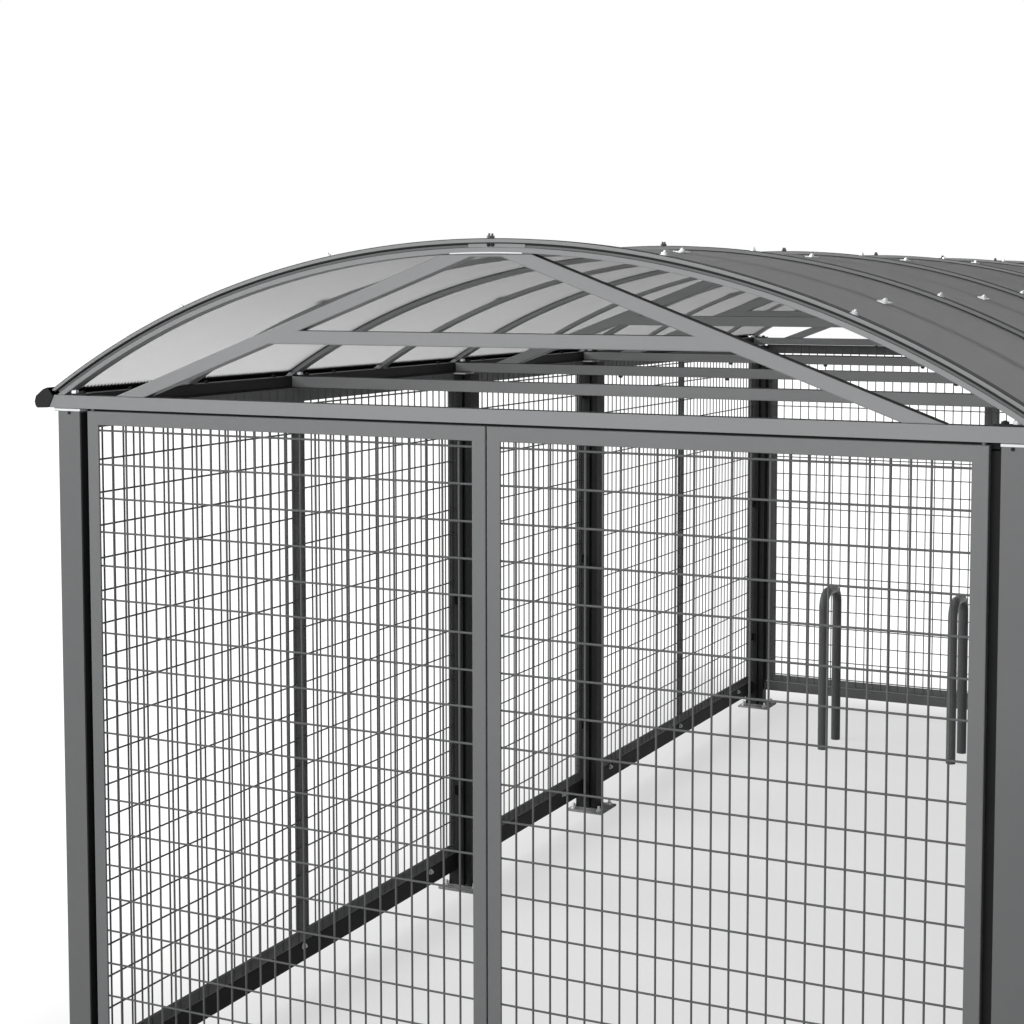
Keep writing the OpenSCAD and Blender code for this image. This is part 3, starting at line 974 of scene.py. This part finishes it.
parts = []
for sign, screw_x in zip((-1.0, 1.0), POST_SCREW_X):
    spots = at(sign * TRIM_X, TRIM_ROWS, TIE_TOP)
    parts += bolt_set(spots, [UP] * len(spots), **TRIM_SCREW)
    parts += bolt_set([[screw_x, FRONT_Y, POST_SCREW_Z]], [FORWARD], **POST_SCREW)
piece("trim_screws", parts, gutter_black)

# %% [markdown]
# White packers fill the gap between post and tie, and a short one shows under the rib at the
# crown of both gables. Each is a thin plate, proud of the steel by less than a millimetre so
# that the two faces do not fight.

# %% Packers
POST_TOP = 2.154
PACKER_T = 0.0062
PACKER_LIFT = 0.0035
PACKER_X = (1.3445, 1.4405)
PACKER_PROUD = 0.0012
PACKER_EASE = 0.0006
POST_SPANS = ((FRONT_Y, -3.040), (-0.685, -0.605), (0.591, 0.671), (3.026, 3.090))
RIB_FOOT_R = ROOF_R - 0.0365
CROWN_PACKER_HALF_T = 0.0015
CROWN_PACKER_D = 0.004
CROWN_PACKER_REACH = 0.0407
parts = []
for sign in (-1.0, 1.0):
    for y0, y1 in POST_SPANS:
        section = rounded(y1 - y0 + PACKER_PROUD, PACKER_T, PACKER_EASE, steps=1)
        inner, outer = at(sign * np.array(PACKER_X), (y0 + y1) / 2, POST_TOP + PACKER_LIFT)
        parts.append(swept(section, inner, outer, UP))
r0, r1 = RIB_FOOT_R - CROWN_PACKER_HALF_T, RIB_FOOT_R + CROWN_PACKER_HALF_T
for y0 in (front_y - PACKER_EASE, rear_y + PACKER_EASE - CROWN_PACKER_D):
    parts.append(arc_strip(r0, r1, y0, y0 + CROWN_PACKER_D, CROWN_PACKER_REACH, steps=12))
piece("packers", parts, packer_white)

# %% [markdown]
# At the crown of each gable a short plate covers the slot between rib and cap bar. On the front
# one two small black nuts show, a little to the right of the middle.

# %% Crown plates
CROWN_NUT = dict(nut_r=0.0055, nut_h=0.003, stud_r=0.003, stud_h=0.004)
CROWN_NUT_X = np.array([0.0105, 0.022])
CROWN_NUT_DROP = 0.005
PLATE_PROUD = 0.0008
PLATE_DEPTH = 0.004
PLATE_R = (CAP_FOOT_R - 0.0112, CAP_FOOT_R + 0.0006)
PLATE_HALF = 0.0315
PLATE_MIDDLE = 0.0125
parts = []
for y0, y1 in ((front_y - PLATE_PROUD, front_y + PLATE_DEPTH), (rear_y - PLATE_DEPTH, rear_y + PLATE_PROUD)):
    parts.append(arc_strip(*PLATE_R, y0, y1, PLATE_HALF, steps=12, middle=PLATE_MIDDLE))
piece("crown_plates", parts, frame_paint)
spots = at(CROWN_NUT_X, front_y - PLATE_PROUD, ROOF_CENTRE_Z + CAP_FOOT_R - CROWN_NUT_DROP)
nuts = bolt_set(spots, [FORWARD] * len(spots), **CROWN_NUT)
piece("crown_nuts", nuts, gutter_black)

# %% [markdown]
# Every post stands on a base plate with four anchor bolts, and bolts hold the base rails to the
# side walls from inside. Both are pale zinc, so they show against the dark steel.

# %% Anchor and rail bolts
ANCHOR = dict(nut_r=0.011, nut_h=0.010, stud_r=0.006, stud_h=0.024, washer_r=0.015)
RAIL_BOLT = dict(nut_r=0.009, nut_h=0.007, stud_r=0.0045, stud_h=0.012, washer_r=0.012)
ANCHOR_HALF = 0.065
BASE_PLATES = ((1.386, -3.05), (1.361, -0.645), (1.361, 0.631), (1.361, 3.05))
RAIL_BOLT_ROWS = np.array([-2.775, -1.86, -0.92, -0.37, 0.356, 0.906, 1.85, 2.775])
RAIL_BOLT_Z = 0.135
across = ANCHOR_HALF * np.array([-1.0, -1.0, 1.0, 1.0])
along = ANCHOR_HALF * np.array([-1.0, 1.0, -1.0, 1.0])
parts = []
for sign in (-1.0, 1.0):
    for x, y in BASE_PLATES:
        spots = at(sign * x + across, y + along, PLATE_TOP)
        parts += bolt_set(spots, [UP] * len(spots), **ANCHOR)
piece("anchor_bolts", parts, zinc)

parts = []
for sign in (-1.0, 1.0):
    spots = at(sign * WALL_X, RAIL_BOLT_ROWS, RAIL_BOLT_Z)
    parts += bolt_set(spots, [[-sign, 0.0, 0.0]] * len(spots), **RAIL_BOLT)
piece("rail_bolts", parts, zinc)

# %% [markdown]
# The studio is a pale floor under a bright, even sky. The camera, reflections and the clear sheet
# see the sky as white, while it lights the steel only weakly: more light on the object would
# bleach its paint. The floor shows white far away and keeps a soft shadow near the shelter.

# %% Floor and sky
FLOOR = 60.0
FLOOR_DROP = 0.001
FLOOR_TONE = 0.35
FLOOR_GLOW = 1.2
PLAN_HALF_X = 1.40
PLAN_HALF_Y = 3.10
GLOW_REACH = 1.4
GLOW_NEAR = 0.50


def seen_rays(tree, *kinds):
    """1 for a ray from the camera or of one of these kinds, otherwise 0."""
    path = tree.nodes.new("ShaderNodeLightPath")
    mask = Socket(tree, path.outputs["Is Camera Ray"])
    for kind in kinds:
        mask = mask.maths("MAXIMUM", mask, Socket(tree, path.outputs[kind]))
    return mask


def floor_paint():
    """Matt grey; the camera and reflections see it mixed with a white glow, whose share grows
    with the distance from the plan of the shelter."""
    material, shader, coords = new_material("floor")
    tree = coords.tree
    feed(shader, coords, Base_Color=grey(FLOOR_TONE), Roughness=0.9)
    x, y = (coords.node("ShaderNodeSeparateXYZ", result=axis, Vector=coords) for axis in (0, 1))
    beside = x.maths("ABSOLUTE", x) - PLAN_HALF_X
    away = x.maths("MAXIMUM", beside, y.maths("ABSOLUTE", y) - PLAN_HALF_Y)
    far = away.node("ShaderNodeMapRange", i0=away, i1=0.0, i2=GLOW_REACH, i3=GLOW_NEAR, i4=1.0)
    eye = seen_rays(tree, "Is Glossy Ray")
    glow = eye.node("ShaderNodeEmission", Color=grey(1.0), Strength=FLOOR_GLOW)
    matt = Socket(tree, shader.outputs[0])
    mixed = eye.node("ShaderNodeMixShader", i0=eye * far, i1=matt, i2=glow)
    tree.links.new(mixed.out, tree.nodes["Material Output"].inputs["Surface"])
    return material


def studio_floor():
    """Plain square floor just under the feet."""
    mesh = bpy.data.meshes.new("studio_floor")
    corners = [(x * FLOOR, y * FLOOR, -FLOOR_DROP) for x, y in ((-1, -1), (1, -1), (1, 1), (-1, 1))]
    mesh.from_pydata(corners, [], [(0, 1, 2, 3)])
    mesh.materials.append(floor_paint())
    floor = bpy.data.objects.new("studio_floor", mesh)
    scene.collection.objects.link(floor)


def bright_sky(light, seen):
    """World that lights at one strength and shows another to the eye, gloss and clear rays."""
    world = bpy.data.worlds.new("sky")
    scene.world = world
    world.use_nodes = True
    tree = world.node_tree
    direct = seen_rays(tree, "Is Glossy Ray", "Is Transmission Ray")
    back = tree.nodes["Background"]
    back.inputs["Color"].default_value = grey(1.0)
    tree.links.new((direct * (seen - light) + light).out, back.inputs["Strength"])


studio_floor()
bright_sky(light=0.12, seen=1.0)
print("floor and sky ready")

# %% [markdown]
# A far soft light from the front lights all front faces evenly. A long lamp close to the gates
# lifts their upper part, as in the photograph. A third one at the left shines through the roof
# sheet from outside, and faces that look to the right stay dark.


# %% Lamps
def lamp(name, place, target, power, size=None, spread=0.0):
    """Lamp at a place turned towards a target: oblong of a size (across, deep), or a far soft
    one, as wide in the sky as spread, where no size is given."""
    data = bpy.data.lights.new(name, "AREA" if size else "SUN")
    data.energy = power
    if size:
        data.shape = "RECTANGLE"
        data.size, data.size_y = size
    else:
        data.angle = spread
    made = bpy.data.objects.new(name, data)
    made.location = place
    made.visible_camera = False
    aim = np.asarray(target, float) - np.asarray(place, float)
    flat = math.hypot(aim[0], aim[1])
    made.rotation_euler = (math.atan2(flat, -aim[2]), 0.0, math.atan2(-aim[0], aim[1]))
    scene.collection.objects.link(made)


lamp("front_soft", (-2.0, -12.0, 2.6), (0.0, 0.0, 1.4), 2.35, spread=0.7)
lamp("front_lamp", (-0.2, -4.9, 2.6), (-0.1, -3.0, 2.1), 40.0, size=(7.0, 0.7))
lamp("left_lamp", (-9.0, -2.0, 5.0), (0.0, 0.0, 1.5), 1050.0, size=(7.0, 4.0))
print("lamps ready")
